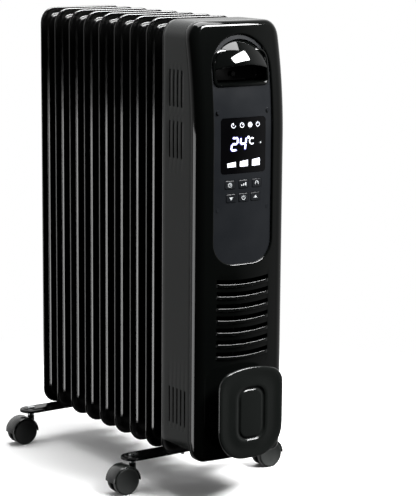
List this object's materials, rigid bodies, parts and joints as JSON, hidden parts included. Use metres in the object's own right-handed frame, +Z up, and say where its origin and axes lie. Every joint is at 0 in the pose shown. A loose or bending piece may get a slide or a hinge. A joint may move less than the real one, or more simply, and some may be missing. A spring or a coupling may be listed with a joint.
{
  "type": "oil filled radiator heater",
  "caption": "Free-standing oil filled radiator with welded steel fins, a front control casing with display, keys and pull handle, a cord winder and swivel casters.",
  "frame": {"origin": "on the floor, under the middle of the object's bounding box", "axes": "+Z up; the control casing faces -Y and the fins run back along +Y; +X is to the right seen from the front"},
  "size_m": [0.277, 0.439, 0.628],
  "materials": {
    "fin_enamel": "gloss black stoving enamel on pressed steel",
    "bracket_enamel": "gloss black enamel on pressed steel",
    "casing_enamel": "satin charcoal powder coat on sheet steel",
    "fascia_gloss": "polished black moulded plastic",
    "handle_gloss": "polished black moulded plastic",
    "strip_satin": "satin blue-black moulded plastic",
    "winder_satin": "fine-grained black moulded plastic",
    "lens_acrylic": "smoked acrylic window",
    "module_plastic": "white display reflector",
    "key_plastic": "satin blue-black moulded plastic",
    "board_laminate": "green solder resist",
    "caster_hood_plastic": "satin charcoal nylon",
    "caster_wheel_plastic": "moulded charcoal nylon",
    "plated_steel": "zinc plated",
    "element_sheath": "drawn steel sheath",
    "flange_brass": "machined",
    "gasket_rubber": "moulded",
    "lead_rubber": "moulded silicone",
    "bare_sheet": "galvanised sheet",
    "switch_plastic": "phenolic moulding"
  },
  "bodies": {
    "heater": {"case_screws": "plated_steel", "caster_stems": "plated_steel", "control_board": "board_laminate", "control_strip": "strip_satin", "cord_gland": "lead_rubber", "display_lens": "lens_acrylic", "display_module": "module_plastic", "element_flange": "flange_brass", "element_gasket": "gasket_rubber", "element_leads": "lead_rubber", "fin_1": "fin_enamel", "fin_2": "fin_enamel", "fin_3": "fin_enamel", "fin_4": "fin_enamel", "fin_5": "fin_enamel", "fin_6": "fin_enamel", "fin_7": "fin_enamel", "fin_8": "fin_enamel", "fin_9": "fin_enamel", "foot_bracket_front": "bracket_enamel", "foot_bracket_rear": "bracket_enamel", "front_fascia": "fascia_gloss", "header_collars": "fin_enamel", "header_end_caps": "fin_enamel", "heat_shield": "bare_sheet", "heating_elements": "element_sheath", "oil_filler_plug": "plated_steel", "power_board": "board_laminate", "pull_handle": "handle_gloss", "side_panel_left": "casing_enamel", "side_panel_right": "casing_enamel", "thermal_cutout": "switch_plastic", "tilt_switch": "switch_plastic", "top_panel": "casing_enamel", "u_bolts": "plated_steel", "winder_plate": "winder_satin", "winder_post": "winder_satin", "wing_nuts": "plated_steel"},
    "key_timer": {"key_timer": "key_plastic"},
    "key_mode": {"key_mode": "key_plastic"},
    "key_level": {"key_level": "key_plastic"},
    "key_down": {"key_down": "key_plastic"},
    "key_power": {"key_power": "key_plastic"},
    "key_up": {"key_up": "key_plastic"},
    "caster_front_left": {"caster_hood_front_left": "caster_hood_plastic", "caster_axle_front_left": "plated_steel"},
    "caster_wheel_front_left_a": {"caster_wheel_front_left_a": "caster_wheel_plastic"},
    "caster_wheel_front_left_b": {"caster_wheel_front_left_b": "caster_wheel_plastic"},
    "caster_front_right": {"caster_hood_front_right": "caster_hood_plastic", "caster_axle_front_right": "plated_steel"},
    "caster_wheel_front_right_a": {"caster_wheel_front_right_a": "caster_wheel_plastic"},
    "caster_wheel_front_right_b": {"caster_wheel_front_right_b": "caster_wheel_plastic"},
    "caster_rear_left": {"caster_hood_rear_left": "caster_hood_plastic", "caster_axle_rear_left": "plated_steel"},
    "caster_wheel_rear_left_a": {"caster_wheel_rear_left_a": "caster_wheel_plastic"},
    "caster_wheel_rear_left_b": {"caster_wheel_rear_left_b": "caster_wheel_plastic"},
    "caster_rear_right": {"caster_hood_rear_right": "caster_hood_plastic", "caster_axle_rear_right": "plated_steel"},
    "caster_wheel_rear_right_a": {"caster_wheel_rear_right_a": "caster_wheel_plastic"},
    "caster_wheel_rear_right_b": {"caster_wheel_rear_right_b": "caster_wheel_plastic"}
  },
  "joints": [
    {"name": "key_timer_press", "type": "slide", "parent": "heater", "child": "key_timer", "axis": [0, 1, 0], "range_m": [0, 0.0008], "stiffness_N_per_m": 400, "springref_m": -0.0008},
    {"name": "key_mode_press", "type": "slide", "parent": "heater", "child": "key_mode", "axis": [0, 1, 0], "range_m": [0, 0.0008], "stiffness_N_per_m": 400, "springref_m": -0.0008},
    {"name": "key_level_press", "type": "slide", "parent": "heater", "child": "key_level", "axis": [0, 1, 0], "range_m": [0, 0.0008], "stiffness_N_per_m": 400, "springref_m": -0.0008},
    {"name": "key_down_press", "type": "slide", "parent": "heater", "child": "key_down", "axis": [0, 1, 0], "range_m": [0, 0.0008], "stiffness_N_per_m": 400, "springref_m": -0.0008},
    {"name": "key_power_press", "type": "slide", "parent": "heater", "child": "key_power", "axis": [0, 1, 0], "range_m": [0, 0.0008], "stiffness_N_per_m": 400, "springref_m": -0.0008},
    {"name": "key_up_press", "type": "slide", "parent": "heater", "child": "key_up", "axis": [0, 1, 0], "range_m": [0, 0.0008], "stiffness_N_per_m": 400, "springref_m": -0.0008},
    {"name": "swivel_front_left", "type": "hinge", "parent": "heater", "child": "caster_front_left", "pos_m": [-0.103, -0.092, 0.04], "axis": [0, 0, 1], "continuous": true},
    {"name": "spin_front_left_a", "type": "hinge", "parent": "caster_front_left", "child": "caster_wheel_front_left_a", "pos_m": [-0.1175, -0.092, 0.0184], "axis": [0, 1, 0], "continuous": true},
    {"name": "spin_front_left_b", "type": "hinge", "parent": "caster_front_left", "child": "caster_wheel_front_left_b", "pos_m": [-0.1175, -0.092, 0.0184], "axis": [0, 1, 0], "continuous": true},
    {"name": "swivel_front_right", "type": "hinge", "parent": "heater", "child": "caster_front_right", "pos_m": [0.103, -0.092, 0.04], "axis": [0, 0, 1], "continuous": true},
    {"name": "spin_front_right_a", "type": "hinge", "parent": "caster_front_right", "child": "caster_wheel_front_right_a", "pos_m": [0.1175, -0.092, 0.0184], "axis": [0, 1, 0], "continuous": true},
    {"name": "spin_front_right_b", "type": "hinge", "parent": "caster_front_right", "child": "caster_wheel_front_right_b", "pos_m": [0.1175, -0.092, 0.0184], "axis": [0, 1, 0], "continuous": true},
    {"name": "swivel_rear_left", "type": "hinge", "parent": "heater", "child": "caster_rear_left", "pos_m": [-0.103, 0.188, 0.04], "axis": [0, 0, 1], "continuous": true},
    {"name": "spin_rear_left_a", "type": "hinge", "parent": "caster_rear_left", "child": "caster_wheel_rear_left_a", "pos_m": [-0.1175, 0.188, 0.0184], "axis": [0, 1, 0], "continuous": true},
    {"name": "spin_rear_left_b", "type": "hinge", "parent": "caster_rear_left", "child": "caster_wheel_rear_left_b", "pos_m": [-0.1175, 0.188, 0.0184], "axis": [0, 1, 0], "continuous": true},
    {"name": "swivel_rear_right", "type": "hinge", "parent": "heater", "child": "caster_rear_right", "pos_m": [0.103, 0.188, 0.04], "axis": [0, 0, 1], "continuous": true},
    {"name": "spin_rear_right_a", "type": "hinge", "parent": "caster_rear_right", "child": "caster_wheel_rear_right_a", "pos_m": [0.1175, 0.188, 0.0184], "axis": [0, 1, 0], "continuous": true},
    {"name": "spin_rear_right_b", "type": "hinge", "parent": "caster_rear_right", "child": "caster_wheel_rear_right_b", "pos_m": [0.1175, 0.188, 0.0184], "axis": [0, 1, 0], "continuous": true}
  ]
}
